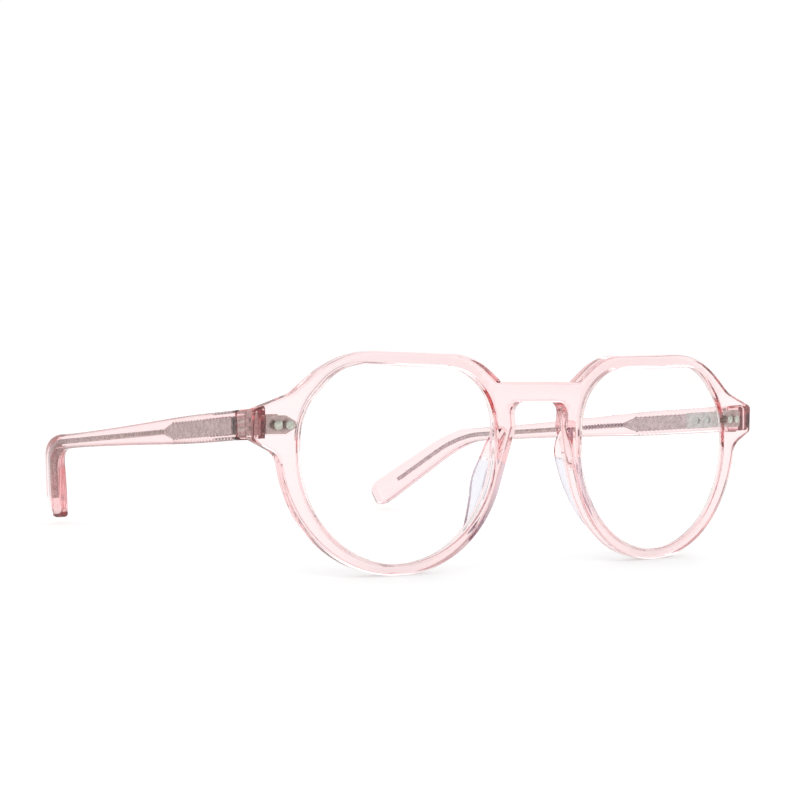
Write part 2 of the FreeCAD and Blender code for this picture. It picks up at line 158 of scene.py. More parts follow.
# ---- fineness of the meshes ----
SHARP_ANGLE = math.radians(35)
NEAR = 1e-4
CUT_NEAR = 1e-5
PLATE_MERGE = 0.002
WIRE_MERGE = 0.001
BEVEL_STEPS = 4
FRONT_SLICES = (-71.0, 71.0)
FIN_SLICES = (5.0, 31.0)
FIN_SLICE_STEP = 1.0
LENS_SLICES_ACROSS = (12.0, 62.0)
LENS_SLICES_UP = (2.0, 45.0)
LINE_STEPS = 8
FOOT_STEPS = 6
ROOT_RINGS = 4
ARM_RINGS = 70
TIP_RINGS = 10
BEAD_STEPS = 6
DOME_STEPS = 8
PIN_STEPS = 40

# ---- materials and stage ----
RAMP_ENDS = (0.35, 0.65)    # noise values that give a tint's two colours
RANGE_ENDS = (0.3, 0.7)     # noise values that give a range's two ends
SURFACE_RIPPLE = 4e-6
METAL_RIPPLE = 1.2e-5
FLOOR_REACH = 30.0
CAMERA_RIGHT = (0.794544, -0.606575, 0.027675)
CAMERA_UP = (0.003794, 0.050535, 0.998715)
CAMERA_PLACE = (-0.317033, -0.427062, 0.056339)
SENSOR_WIDTH = 36.0
CLIP_RANGE = (0.01, 100.0)
KEY_PLACE = (-0.7, -0.2, 0.9)
KEY_SIZE = (0.7, 0.5)
RIM_PLACE = (0.8, 0.6, 0.6)
RIM_SIZE = (0.5, 0.5)
RIM_SHARE = 0.6             # of the key light's power
SKY_STOPS = ((0.3, 1.0), (0.9, 0.5))   # height and grey of the surroundings
MOST_BOUNCES = 32
GLOSSY_BOUNCES = 20
TRANSMISSION_BOUNCES = 28

# The front as it stands on the ground, leaning back a little.
STAND = Matrix.Translation((0, -64.5, 0.08)) @ Matrix.Rotation(math.radians(-0.972), 4, "X")


def hinge_matrix():
    """From the hinge's own frame to the left hinge's place, in millimetres."""
    joint = next(j for j in frame["joints"] if j["name"] == "left_fold")
    up = Vector(joint["axis"]).normalized()
    out = Vector((1, 0, 0))
    place = Matrix((out, up.cross(out), up)).transposed().to_4x4()
    place.translation = Vector(joint["pos_m"]) / MM
    return place


HINGE = hinge_matrix()
TEMPLE = HINGE @ Matrix.Rotation(CONVERGENCE, 4, "Z")


# ---- settings ----
class SpectaclesAcetate(bpy.types.PropertyGroup):
    """Colour and finish of the acetate."""
    absorption: FloatVectorProperty(
        name="Absorption", description="Colour that the acetate keeps as light crosses it",
        subtype="COLOR", size=3, min=0, max=1, default=(0.87, 0.05, 0.08))
    density: FloatProperty(
        name="Density", description="How strongly each metre of acetate absorbs", default=62.0, min=0)
    edge_round: FloatProperty(
        name="Edge rounding", description="Radius of the polished edges, in millimetres",
        default=0.6, min=0.1)


class SpectaclesStage(bpy.types.PropertyGroup):
    """Camera and light."""
    focal_length: FloatProperty(
        name="Lens", description="Focal length on a 36 mm sensor, in millimetres", default=99.17, min=10)
    world_light: FloatProperty(
        name="World light", description="Strength of the white surroundings", default=1.02, min=0)
    floor_glow: FloatProperty(
        name="Floor glow", description="Light that the lit white floor gives by itself", default=0.33, min=0)
    key_power: FloatProperty(
        name="Key light", description="Power of the soft key light, in watts", default=1.5, min=0)


class SpectaclesDetail(bpy.types.PropertyGroup):
    """Fineness of the meshes."""
    arc_step: FloatProperty(
        name="Arc step", description="Turn between points on a rounded corner", subtype="ANGLE",
        default=math.radians(3.0), min=0.01)
    section_points: IntProperty(
        name="Corner points", description="Points on each rounded corner of a temple's section",
        default=7, min=2)
    slice_step: FloatProperty(
        name="Slices", description="Spacing of the slices that let a plate bend, in millimetres",
        default=2.0, min=0.2)


# ---- mesh helpers ----
def sweep_corner(here, back, ahead, radius, step):
    """Points on the arc that rounds one corner of an outline."""
    to_back = (back - here).normalized()
    to_ahead = (ahead - here).normalized()
    half = to_back.angle(to_ahead) / 2
    middle = (to_back + to_ahead).normalized()
    centre = here + middle * (radius / math.sin(half))
    start = here + to_back * (radius / math.tan(half)) - centre
    turn = start.angle_signed(here + to_ahead * (radius / math.tan(half)) - centre)
    count = max(2, math.ceil(abs(turn) / step))
    return [centre + Matrix.Rotation(-turn * i / count, 2) @ start for i in range(count + 1)]


def rounded_outline(corners, step):
    """Closed outline through corners (x, z, radius), each rounded by an arc."""
    places = [Vector((x, z)) for x, z, _ in corners]
    outline = []
    for i, (_, _, radius) in enumerate(corners):
        following = places[(i + 1) % len(places)]
        outline += sweep_corner(places[i], places[i - 1], following, radius, step)
    return outline


def mirrored_outline(outline):
    """The outline's mirror image across the middle of the spectacles."""
    return [Vector((-p.x, p.y)) for p in reversed(outline)]


def area(outline):
    """Area inside a closed outline, negative if it runs clockwise."""
    return sum(a.cross(b) for a, b in zip(outline, outline[1:] + outline[:1])) / 2


def curve_mesh(curve, merge):
    """Mesh of a curve, with its close points merged. The curve is used up."""
    holder = bpy.data.objects.new(curve.name, curve)
    mesh = bpy.data.meshes.new_from_object(holder)
    bpy.data.objects.remove(holder)
    bpy.data.curves.remove(curve)
    bm = bmesh.new()
    bm.from_mesh(mesh)
    bpy.data.meshes.remove(mesh)
    bmesh.ops.remove_doubles(bm, verts=bm.verts, dist=merge)
    return bm


def plate(outlines, thickness, edge_round, grow=0.0):
    """Plate with rounded edges: the first outline's inside without the others, from Y = 0 back."""
    curve = bpy.data.curves.new("outline", "CURVE")
    curve.dimensions = "2D"
    curve.fill_mode = "BOTH"
    curve.extrude = thickness / 2 - edge_round
    curve.bevel_depth = edge_round
    curve.bevel_resolution = BEVEL_STEPS
    curve.offset = grow - edge_round
    for index, outline in enumerate(outlines):
        if (area(outline) > 0) == (index > 0):
            outline = outline[::-1]
        spline = curve.splines.new("POLY")
        spline.points.add(len(outline) - 1)
        spline.use_cyclic_u = True
        for point, place in zip(spline.points, outline):
            point.co = (place.x, place.y, 0, 1)
    bm = curve_mesh(curve, PLATE_MERGE)
    bmesh.ops.rotate(bm, verts=bm.verts, cent=(0, 0, 0), matrix=Matrix.Rotation(math.pi / 2, 3, "X"))
    bmesh.ops.translate(bm, verts=bm.verts, vec=(0, thickness / 2, 0))
    return bm


def turn_to_side(bm):
    """Turn a plate from the XZ plane to the YZ plane; its thickness then runs from X = 0 down."""
    bmesh.ops.rotate(bm, verts=bm.verts, cent=(0, 0, 0), matrix=Matrix.Rotation(math.pi / 2, 3, "Z"))


def slice_across(bm, axis, span, step):
    """Cut the mesh across an axis at even steps over a span, so that it can bend smoothly."""
    low, high = span
    normal = Vector((0, 0, 0))
    normal[axis] = 1
    for i in range(math.ceil((high - low) / step) + 1):
        geometry = bm.verts[:] + bm.edges[:] + bm.faces[:]
        bmesh.ops.bisect_plane(
            bm, geom=geometry, dist=NEAR, plane_co=normal * (low + i * step), plane_no=normal)


def keep_behind(bm, point, normal):
    """Cut the mesh by a plane, keep what lies behind its normal and close the cut."""
    geometry = bm.verts[:] + bm.edges[:] + bm.faces[:]
    cut = bmesh.ops.bisect_plane(
        bm, geom=geometry, dist=CUT_NEAR, plane_co=point, plane_no=normal, clear_outer=True)
    edges = [e for e in cut["geom_cut"] if isinstance(e, bmesh.types.BMEdge)]
    bmesh.ops.edgeloop_fill(bm, edges=edges)
    bmesh.ops.recalc_face_normals(bm, faces=bm.faces)


def cube(spans):
    """Box over three (low, high) spans."""
    bm = bmesh.new()
    bmesh.ops.create_cube(bm, size=1.0)
    size = [high - low for low, high in spans]
    middle = [(high + low) / 2 for low, high in spans]
    bmesh.ops.scale(bm, verts=bm.verts, vec=size)
    bmesh.ops.translate(bm, verts=bm.verts, vec=middle)
    return bm


def to_object(name, bm, matrix=Matrix()):
    """Make an object of a mesh whose points are first moved by the matrix."""
    bm.transform(matrix)
    if matrix.determinant() < 0:
        bmesh.ops.reverse_faces(bm, faces=bm.faces)
    mesh = bpy.data.meshes.new(name)
    bm.to_mesh(mesh)
    bm.free()
    obj = bpy.data.objects.new(name, mesh)
    bpy.context.scene.collection.objects.link(obj)
    return obj


def combine(target, bm, matrix, operation):
    """Join a mesh to an object, or cut the object with it."""
    tool = to_object("tool", bm, matrix)
    modifier = target.modifiers.new("combine", "BOOLEAN")
    modifier.operation = operation
    modifier.solver = "EXACT"
    modifier.object = tool
    bpy.context.view_layer.update()
    before = target.data
    target.data = bpy.data.meshes.new_from_object(
        target.evaluated_get(bpy.context.evaluated_depsgraph_get()))
    target.modifiers.clear()
    bpy.data.meshes.remove(before)
    used = tool.data
    bpy.data.objects.remove(tool)
    bpy.data.meshes.remove(used)
    if not target.data.polygons:
        raise RuntimeError(target.name + " came out empty")


def finish_piece(obj, body, material, nodes):
    """Set a piece in metres, shade it, give it its material and tie it to the frame."""
    obj.data.transform(Matrix.Scale(MM, 4))
    obj.data.name = obj.name
    for polygon in obj.data.polygons:
        polygon.use_smooth = True
    obj.data.set_sharp_from_angle(angle=SHARP_ANGLE)
    obj.modifiers.new("normals", "WEIGHTED_NORMAL").keep_sharp = True
    obj.data.materials.clear()
    obj.data.materials.append(material)
    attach(obj, body)
    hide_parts(*nodes)


# ---- the front ----
def face_y(x):
    """Depth of the front's face at x."""
    return FACE_RADIUS - math.sqrt(FACE_RADIUS ** 2 - x ** 2)


def back_y(x):
    """Depth of the front's back at x."""
    return BRIDGE_DEPTH + BACK_RADIUS - math.sqrt(BACK_RADIUS ** 2 - x ** 2)


def wrap_front(bm):
    """Bend the flat plate to the front's face and back, keeping its rounded edges."""
    for vert in bm.verts:
        x, depth = vert.co.x, vert.co.y
        if depth < FLAT_THICKNESS / 2:
            vert.co.y = face_y(x) + depth
        else:
            vert.co.y = back_y(x) - (FLAT_THICKNESS - depth)


def smooth_line(table, count):
    """Points on a smooth curve through a table of pairs."""
    points = []
    rows = [Vector(row) for row in table]
    rows = [2 * rows[0] - rows[1]] + rows + [2 * rows[-1] - rows[-2]]
    for p0, p1, p2, p3 in zip(rows, rows[1:], rows[2:], rows[3:]):
        for i in range(count):
            t = i / count
            points.append(0.5 * (2 * p1 + (p2 - p0) * t + (2 * p0 - 5 * p1 + 4 * p2 - p3) * t ** 2
                                 + (3 * p1 - p0 - 3 * p2 + p3) * t ** 3))
    return points + [rows[-2]]


def value_at(line, key):
    """Second value of a line at a first value, straight between its points."""
    rows = sorted(line, key=lambda row: row[0])
    if key <= rows[0][0]:
        return rows[0][1]
    for low, high in zip(rows, rows[1:]):
        if key <= high[0]:
            return low[1] + (high[1] - low[1]) * (key - low[0]) / (high[0] - low[0])
    return rows[-1][1]


def nose_fin():
    """Fin behind the nose side of the left rim, with rounded edges."""
    bm = plate([smooth_line(FIN_SIDE, LINE_STEPS)], FIN_THICKNESS, FIN_EDGE_ROUND)
    turn_to_side(bm)
    slice_across(bm, 2, FIN_SLICES, FIN_SLICE_STEP)
    foot = [(z, x) for x, z in smooth_line(FIN_FOOT, FOOT_STEPS)]
    for vert in bm.verts:
        vert.co.x += FIN_THICKNESS + value_at(foot, vert.co.z) + FIN_FLARE * vert.co.y
    return bm


def lens_plate(outline, thickness, edge_round, grow, step):
    """Plate inside the lens opening's outline, curved about the lens's middle surface."""
    bm = plate([outline], thickness, edge_round, grow)
    slice_across(bm, 0, LENS_SLICES_ACROSS, step)
    slice_across(bm, 2, LENS_SLICES_UP, step)
    lean = math.asin(LENS_CENTRE[0] / FACE_RADIUS)
    centre = Vector((LENS_CENTRE[0] - LENS_RADIUS * math.sin(lean),
                     LENS_VERTEX + LENS_RADIUS * math.cos(lean), LENS_CENTRE[1]))
    for vert in bm.verts:
        away = (vert.co.x - centre.x) ** 2 + (vert.co.z - centre.z) ** 2
        vert.co.y += centre.y - math.sqrt(LENS_RADIUS ** 2 - away) - thickness / 2
    return bm


def leaf_pocket():
    """Pocket in the left back of the front for the hinge's leaf, open at the back."""
    lower = [(x, -z, radius) for x, z, radius in reversed(LEAF_CORNERS)]
    corners = [(x, RIVET_Z + z, radius) for x, z, radius in list(LEAF_CORNERS) + lower]
    outline = rounded_outline(corners, POCKET_ARC_STEP)
    bm = plate([outline], POCKET_DEPTH, POCKET_EDGE_ROUND, -POCKET_BITE)
    for vert in bm.verts:
        vert.co.y += back_y(vert.co.x) - LEAF_THICKNESS + POCKET_BITE
    return bm


def end_block():
    """Stub of the left end piece that meets the temple, in the hinge's frame."""
    bm = cube(END_BLOCK)
    outer = END_BLOCK[0][1]
    edges = [e for e in bm.edges if all(abs(v.co.x - outer) < NEAR for v in e.verts)
             and abs(e.verts[0].co.z - e.verts[1].co.z) < NEAR]
    bmesh.ops.bevel(bm, geom=edges, offset=END_ROUND, offset_type="OFFSET",
                    segments=END_ROUND_STEPS, profile=0.5, affect="EDGES", material=-1)
    return bm


class SPECTACLES_OT_front(bpy.types.Operator):
    """Build the acetate front: rims, keyhole bridge, nose wings and end pieces"""
    bl_idname = "spectacles.front"
    bl_label = "Front"

    def execute(self, context):
        settings = context.scene.spectacles_acetate
        detail = context.scene.spectacles_detail
        right = [(-x, z, radius) for x, z, radius in reversed(FRONT_CORNERS)]
        outline = rounded_outline(list(FRONT_CORNERS) + right, detail.arc_step)
        opening = rounded_outline(OPENING_CORNERS, detail.arc_step)
        outlines = [outline, opening, mirrored_outline(opening)]
        bm = plate(outlines, FLAT_THICKNESS, settings.edge_round)
        slice_across(bm, 0, FRONT_SLICES, detail.slice_step)
        wrap_front(bm)
        front = to_object("rims_and_bridge", bm, STAND)
        for _, flip in SIDES:
            wing = nose_fin()
            keep_behind(wing, (0, 0, PAD_TOP), (0, 0, -1))
            keep_behind(wing, (0, BRIDGE_DEPTH - WING_SINK, 0), (0, -1, 0))
            combine(front, wing, flip @ STAND, "UNION")
            combine(front, end_block(), flip @ HINGE, "UNION")
            groove = lens_plate(opening, TONGUE_THICKNESS + GROOVE_SPARE, TONGUE_EDGE_ROUND,
                                TONGUE + GROOVE_SPARE, detail.slice_step)
            combine(front, groove, flip @ STAND, "DIFFERENCE")
            combine(front, leaf_pocket(), flip @ STAND, "DIFFERENCE")
        finish_piece(front, "front", crystal_acetate(settings), ["front_frame"])
        return {"FINISHED"}


class SPECTACLES_OT_lenses(bpy.types.Operator):
    """Build the two curved lenses with the tongue that holds them in the rims"""
    bl_idname = "spectacles.lenses"
    bl_label = "Lenses"

    def execute(self, context):
        detail = context.scene.spectacles_detail
        opening = rounded_outline(OPENING_CORNERS, detail.arc_step)
        material = coated_lens()
        for side, flip in SIDES:
            body = lens_plate(opening, LENS_THICKNESS, LENS_EDGE_ROUND, -LENS_GAP, detail.slice_step)
            lens = to_object(side + "_lens", body, flip @ STAND)
            tongue = lens_plate(
                opening, TONGUE_THICKNESS, TONGUE_EDGE_ROUND, TONGUE, detail.slice_step)
            combine(lens, tongue, flip @ STAND, "UNION")
            finish_piece(lens, "front", material, ["lens_" + side])
        return {"FINISHED"}


class SPECTACLES_OT_nose_pads(bpy.types.Operator):
    """Build the clear nose pads that go on down from the pink wings"""
    bl_idname = "spectacles.nose_pads"
    bl_label = "Nose pads"

    def execute(self, context):
        material = clear_pad()
        seat = (PAD_SEAT_X, BRIDGE_DEPTH + PAD_SEAT_DEPTH, 0)
        for side, flip in SIDES:
            bm = nose_fin()
            keep_behind(bm, (0, 0, PAD_TOP - PAD_TOP_GAP), (0, 0, 1))
            keep_behind(bm, seat, (PAD_SEAT_X / BACK_RADIUS, -1, 0))
            pad = to_object(side + "_pad", bm, flip @ STAND)
            finish_piece(pad, "front", material, ["nose_pad_" + side])
        return {"FINISHED"}


# ---- the temples ----
def bend(v, angle):
    """Sideways offset and slope of the temple's middle line at v, for one bend."""
    radius = BEND_SPAN / math.sin(angle)
    if v <= BEND_START:
        return 0.0, 0.0
    if v >= BEND_START + BEND_SPAN:
        rest = v - BEND_START - BEND_SPAN
        return radius * (1 - math.cos(angle)) + rest * math.tan(angle), angle
    turn = math.asin((v - BEND_START) / radius)
    return radius * (1 - math.cos(turn)), turn


def middle_line(v):
    """Place on the temple's middle line at v, and the ways its section's width and height point."""
    inward, turn = bend(v, BEND_INWARD)
    down, dip = bend(v, BEND_DOWN)
    across = Vector((math.cos(turn), math.sin(turn), 0))
    upright = Vector((0, math.sin(dip), math.cos(dip)))
    return Vector((TEMPLE_MIDDLE - inward, v, -down)), across, upright


def temple_rings():
    """(v, push, inset across, inset upright) of each ring: the rounded root, the arm and the tip."""
    rings = []
    for i in range(ROOT_RINGS):
        turn = math.pi / 2 * i / (ROOT_RINGS - 1)
        inset = ROOT_ROUND * (1 - math.sin(turn))
        rings.append((TEMPLE_START + ROOT_ROUND * (1 - math.cos(turn)), 0.0, inset, inset))
    start = TEMPLE_START + ROOT_ROUND
    end = TEMPLE_END - TIP_BACK
    for i in range(1, ARM_RINGS + 1):
        rings.append((start + (end - start) * i / ARM_RINGS, 0.0, 0.0, 0.0))
    for i in range(1, TIP_RINGS + 1):
        turn = math.pi / 2 * i / TIP_RINGS
        narrowing = [cut * (1 - math.cos(turn)) for cut in TIP_NARROWING]
        rings.append((end, TIP_ROUND * math.sin(turn), *narrowing))
    return rings


def shape_ring(verts, order, ring, heights, widths, corner_points):
    """Set one ring of verts on the temple's rounded section."""
    v, push, inset, lowering = ring
    centre, across, upright = middle_line(v)
    along = upright.cross(across)
    half_width = value_at(widths, v) - inset
    half_height = value_at(heights, v) - lowering
    corner = min(TEMPLE_EDGE_ROUND, CORNER_SHARE * half_width)
    for vert in verts:
        quarter, step = divmod(vert[order], corner_points)
        turn = math.pi / 2 * (quarter + step / (corner_points - 1))
        side = (1, -1, -1, 1)[quarter]
        level = (1, 1, -1, -1)[quarter]
        out = side * (half_width - corner) + corner * math.cos(turn)
        high = level * (half_height - corner) + corner * math.sin(turn)
        vert.co = centre + across * out + upright * high + along * push


def temple_arm(corner_points):
    """The temple's acetate arm, in the temple's frame."""
    heights = smooth_line(HALF_HEIGHTS, LINE_STEPS)
    widths = smooth_line(HALF_WIDTHS, LINE_STEPS)
    bm = bmesh.new()
    order = bm.verts.layers.int.new("order")
    bmesh.ops.create_circle(bm, segments=4 * corner_points, radius=1.0, cap_ends=False)
    bm.verts.ensure_lookup_table()
    for index, vert in enumerate(bm.verts):
        vert[order] = index
    rings = temple_rings()
    shape_ring(bm.verts, order, rings[0], heights, widths, corner_points)
    edges = bm.edges[:]
    bmesh.ops.edgeloop_fill(bm, edges=edges)
    for ring in rings[1:]:
        grown = bmesh.ops.extrude_edge_only(bm, edges=edges)["geom"]
        edges = [e for e in grown if isinstance(e, bmesh.types.BMEdge)]
        verts = [e for e in grown if isinstance(e, bmesh.types.BMVert)]
        shape_ring(verts, order, ring, heights, widths, corner_points)
    bmesh.ops.edgeloop_fill(bm, edges=edges)
    bmesh.ops.recalc_face_normals(bm, faces=bm.faces)
    return bm


def tooth_gaps():
    """Air left in the acetate between the teeth of the core's blade."""
    gaps = bmesh.new()
    size = Matrix.Diagonal((BLADE_THICKNESS, GAP_WIDTH * TOOTH_PITCH, GAP_DEPTH, 1))
    for i in range(BLADE_TEETH):
        v = BLADE_START + (i + GAP_MIDDLE) * TOOTH_PITCH
        for level in (-1, 1):
            w = level * (BLADE_HALF_HEIGHT - TOOTH_DEPTH / 2 + GAP_RISE)
            place = Matrix.Translation((TEMPLE_MIDDLE, v, w))
            bmesh.ops.create_cube(gaps, size=1.0, matrix=place @ size)
    return gaps


class SPECTACLES_OT_temples(bpy.types.Operator):
    """Build the two acetate arms with their rounded tips"""
    bl_idname = "spectacles.temples"
    bl_label = "Temples"

    def execute(self, context):
        material = crystal_acetate(context.scene.spectacles_acetate)
        inner = TEMPLE_MIDDLE - HALF_WIDTHS[0][1]
        pocket = ((inner - 1, inner + LEAF_THICKNESS - POCKET_BITE),
                  (LEAF_SPAN[0] + POCKET_BITE, LEAF_SPAN[1] - POCKET_BITE),
                  (POCKET_BITE - LEAF_HALF_HEIGHT, LEAF_HALF_HEIGHT - POCKET_BITE))
        for side, flip in SIDES:
            place = flip @ TEMPLE
            bm = temple_arm(context.scene.spectacles_detail.section_points)
            temple = to_object(side + "_arm", bm, place)
            combine(temple, cube(pocket), place, "DIFFERENCE")
            combine(temple, tooth_gaps(), place, "DIFFERENCE")
            finish_piece(temple, side + "_temple", material, ["temple_" + side])
        return {"FINISHED"}


# ---- the metal ----
def blade_outline():
    """Toothed outline of the core's blade, with its point, as (v, w)."""
    upper = []
    shares = ((0, 0.0), (TOOTH_LAND, 0.0), (TOOTH_LAND + TOOTH_FLANK, TOOTH_DEPTH),
              (1 - TOOTH_FLANK, TOOTH_DEPTH))
    for i in range(BLADE_TEETH):
        v = BLADE_START + i * TOOTH_PITCH
        for share, cut in shares:
            upper.append(Vector((v + share * TOOTH_PITCH, BLADE_HALF_HEIGHT - cut)))
    upper += [Vector((BLADE_END, BLADE_HALF_HEIGHT)), Vector((BLADE_POINT, WIRE_RADIUS))]
    return upper + [Vector((p.x, -p.y)) for p in reversed(upper)]


def core_wire():
    """Round wire on the temple's middle line, beaded where it leaves the blade."""
    curve = bpy.data.curves.new("wire", "CURVE")
    curve.dimensions = "3D"
    curve.bevel_depth = WIRE_RADIUS
    curve.bevel_resolution = BEVEL_STEPS
    curve.use_fill_caps = True
    places = []
    v = BLADE_POINT - WIRE_LAP
    while v < WIRE_END:
        if v < BEADS_END:
            for i in range(BEAD_STEPS):
                swell = abs(math.sin(math.pi * i / BEAD_STEPS))
                places.append((v + BEAD_PITCH * i / BEAD_STEPS, BEAD_WAIST + BEAD_SWELL * swell))
        else:
            places.append((v, 1.0))
        v += BEAD_PITCH
    spline = curve.splines.new("POLY")
    spline.points.add(len(places) - 1)
    for point, (v, radius) in zip(spline.points, places):
        point.co = (*middle_line(v)[0], 1)
        point.radius = radius
    bm = curve_mesh(curve, WIRE_MERGE)
    bmesh.ops.recalc_face_normals(bm, faces=bm.faces)
    return bm


class SPECTACLES_OT_cores(bpy.types.Operator):
    """Build the toothed metal cores inside the temples"""
    bl_idname = "spectacles.cores"
    bl_label = "Temple cores"

    def execute(self, context):
        material = metal("core metal", dark=(0.46, 0.40, 0.39), light=(0.66, 0.60, 0.58),
                         smoothest=0.20, roughest=0.35, scale=900.0)
        for side, flip in SIDES:
            place = flip @ TEMPLE
            bm = plate([blade_outline()], BLADE_THICKNESS, BLADE_EDGE_ROUND)
            turn_to_side(bm)
            bmesh.ops.translate(bm, verts=bm.verts, vec=(TEMPLE_MIDDLE + BLADE_THICKNESS / 2, 0, 0))
            core = to_object(side + "_core", bm, place)
            combine(core, core_wire(), place, "UNION")
            finish_piece(core, side + "_temple", material, ["temple_core_" + side])
        return {"FINISHED"}


def domed_pin():
    """Pin along +Y with a low domed head whose rim is at Y = 0."""
    sphere = (RIVET_HEAD_RADIUS ** 2 + RIVET_HEAD_HEIGHT ** 2) / (2 * RIVET_HEAD_HEIGHT)
    reach = math.asin(RIVET_HEAD_RADIUS / sphere)
    profile = []
    for i in range(DOME_STEPS + 1):
        turn = reach * i / DOME_STEPS
        profile.append((sphere * math.sin(turn), sphere * (1 - math.cos(turn)) - RIVET_HEAD_HEIGHT))
    profile += [(RIVET_HEAD_RADIUS, RIVET_SINK), (RIVET_RADIUS, RIVET_SINK),
                (RIVET_RADIUS, RIVET_LENGTH), (0.0, RIVET_LENGTH)]
    bm = bmesh.new()
    verts = [bm.verts.new((radius, depth, 0)) for radius, depth in profile]
    edges = [bm.edges.new(pair) for pair in zip(verts, verts[1:])]
    bmesh.ops.spin(bm, geom=verts + edges, cent=(0, 0, 0), axis=(0, 1, 0), angle=2 * math.pi,
                   steps=PIN_STEPS, use_merge=True)
    bmesh.ops.remove_doubles(bm, verts=bm.verts, dist=NEAR)
    bmesh.ops.recalc_face_normals(bm, faces=bm.faces)
    return bm


class SPECTACLES_OT_rivets(bpy.types.Operator):
    """Build the pairs of domed rivets on the end pieces"""
    bl_idname = "spectacles.rivets"
    bl_label = "Front rivets"

    def execute(self, context):
        material = metal("rivet metal", dark=(0.44, 0.45, 0.39), light=(0.62, 0.63, 0.56),
                         smoothest=0.18, roughest=0.30, scale=1500.0)
        for side, flip in SIDES:
            both = bmesh.new()
            for x in RIVET_X:
                bm = domed_pin()
                lean = Matrix.Rotation(math.asin(x / FACE_RADIUS), 4, "Z")
                bm.transform(Matrix.Translation((x, face_y(x), RIVET_Z)) @ lean)
                mesh = bpy.data.meshes.new("pin")
                bm.to_mesh(mesh)
                bm.free()
                both.from_mesh(mesh)
                bpy.data.meshes.remove(mesh)
            pins = to_object(side + "_domed_rivets", both, flip @ STAND)
            finish_piece(pins, "front", material, ["front_rivets_" + side])
        return {"FINISHED"}


class SPECTACLES_OT_hinges(bpy.types.Operator):
    """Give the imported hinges, screws and temple rivets their metal"""
    bl_idname = "spectacles.hinges"
    bl_label = "Hinges"

    def execute(self, context):
        nickel = metal("hinge metal", dark=(0.44, 0.40, 0.38), light=(0.60, 0.56, 0.53),
                       smoothest=0.22, roughest=0.38, scale=1200.0)
        bright = metal("temple rivet metal", dark=(0.40, 0.40, 0.36), light=(0.55, 0.55, 0.50),
                       smoothest=0.18, roughest=0.30, scale=1500.0)
        for side, _ in SIDES:
            for name in ("front_hinge_", "temple_hinge_", "hinge_screw_"):
                cover(frame["nodes"][name + side], nickel)
            cover(frame["nodes"]["temple_rivets_" + side], bright)
        return {"FINISHED"}


def cover(node, material):
    """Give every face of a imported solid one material."""
    for holder in node.material_slots:
        holder.material = material


# ---- materials ----
def new_material(name):
    """A node material, with its nodes, its links and its main shader."""
    material = bpy.data.materials.new(name)
    material.use_nodes = True
    nodes = material.node_tree.nodes
    return material, nodes, material.node_tree.links, nodes["Principled BSDF"]


def noise(nodes, links, scale, detail=2.0):
    """Value of a noise on the piece's own coordinates."""
    place = nodes.new("ShaderNodeTexCoord")
    texture = nodes.new("ShaderNodeTexNoise")
    texture.inputs["Scale"].default_value = scale
    texture.inputs["Detail"].default_value = detail
    links.new(place.outputs["Object"], texture.inputs["Vector"])
    return texture.outputs["Fac"]


def spread(nodes, links, value, low, high, target):
    """Send a noise's value to a socket as a range."""
    mapper = nodes.new("ShaderNodeMapRange")
    mapper.inputs["From Min"].default_value = RANGE_ENDS[0]
    mapper.inputs["From Max"].default_value = RANGE_ENDS[1]
    mapper.inputs["To Min"].default_value = low
    mapper.inputs["To Max"].default_value = high
    links.new(value, mapper.inputs["Value"])
    links.new(mapper.outputs["Result"], target)


def tint(nodes, links, value, low, high, target):
    """Send a noise's value to a colour socket, between two colours."""
    ramp = nodes.new("ShaderNodeValToRGB")
    for stop, place, colour in zip(ramp.color_ramp.elements, RAMP_ENDS, (low, high)):
        stop.position = place
        stop.color = (*colour, 1)
    links.new(value, ramp.inputs["Fac"])
    links.new(ramp.outputs["Color"], target)


def ripple(nodes, links, value, depth, shader):
    """Send a noise's value to the shader as a slight unevenness, depth in metres."""
    bump = nodes.new("ShaderNodeBump")
    bump.inputs["Distance"].default_value = depth
    links.new(value, bump.inputs["Height"])
    links.new(bump.outputs["Normal"], shader.inputs["Normal"])


def absorb(nodes, links, colour, density):
    """Let the material's inside take up light, density per metre."""
    volume = nodes.new("ShaderNodeVolumeAbsorption")
    volume.inputs["Color"].default_value = (*colour, 1)
    volume.inputs["Density"].default_value = density
    links.new(volume.outputs["Volume"], nodes["Material Output"].inputs["Volume"])


def crystal_acetate(settings):
    """Polished see-through acetate, deeper in colour where the light's way is longer."""
    found = bpy.data.materials.get("crystal acetate")
    if found:
        return found
    material, nodes, links, shader = new_material("crystal acetate")
    shader.inputs["Transmission Weight"].default_value = 1.0
    shader.inputs["IOR"].default_value = 1.49
    tint(nodes, links, noise(nodes, links, 90.0), (1.0, 0.975, 0.975), (1.0, 0.99, 0.99),
         shader.inputs["Base Color"])
    spread(nodes, links, noise(nodes, links, 700.0), 0.0, 0.03, shader.inputs["Roughness"])
    ripple(nodes, links, noise(nodes, links, 160.0), SURFACE_RIPPLE, shader)
    absorb(nodes, links, settings.absorption, settings.density)
    return material


def clear_pad():
    """Clear nose pad with a faint cool tint."""
    material, nodes, links, shader = new_material("clear pad")
    shader.inputs["Transmission Weight"].default_value = 1.0
    shader.inputs["IOR"].default_value = 1.46
    tint(nodes, links, noise(nodes, links, 200.0), (0.955, 0.95, 0.99), (0.98, 0.975, 1.0),
         shader.inputs["Base Color"])
    spread(nodes, links, noise(nodes, links, 800.0), 0.02, 0.07, shader.inputs["Roughness"])
    ripple(nodes, links, noise(nodes, links, 250.0), SURFACE_RIPPLE, shader)
    absorb(nodes, links, (0.45, 0.42, 0.56), 80.0)
    return material


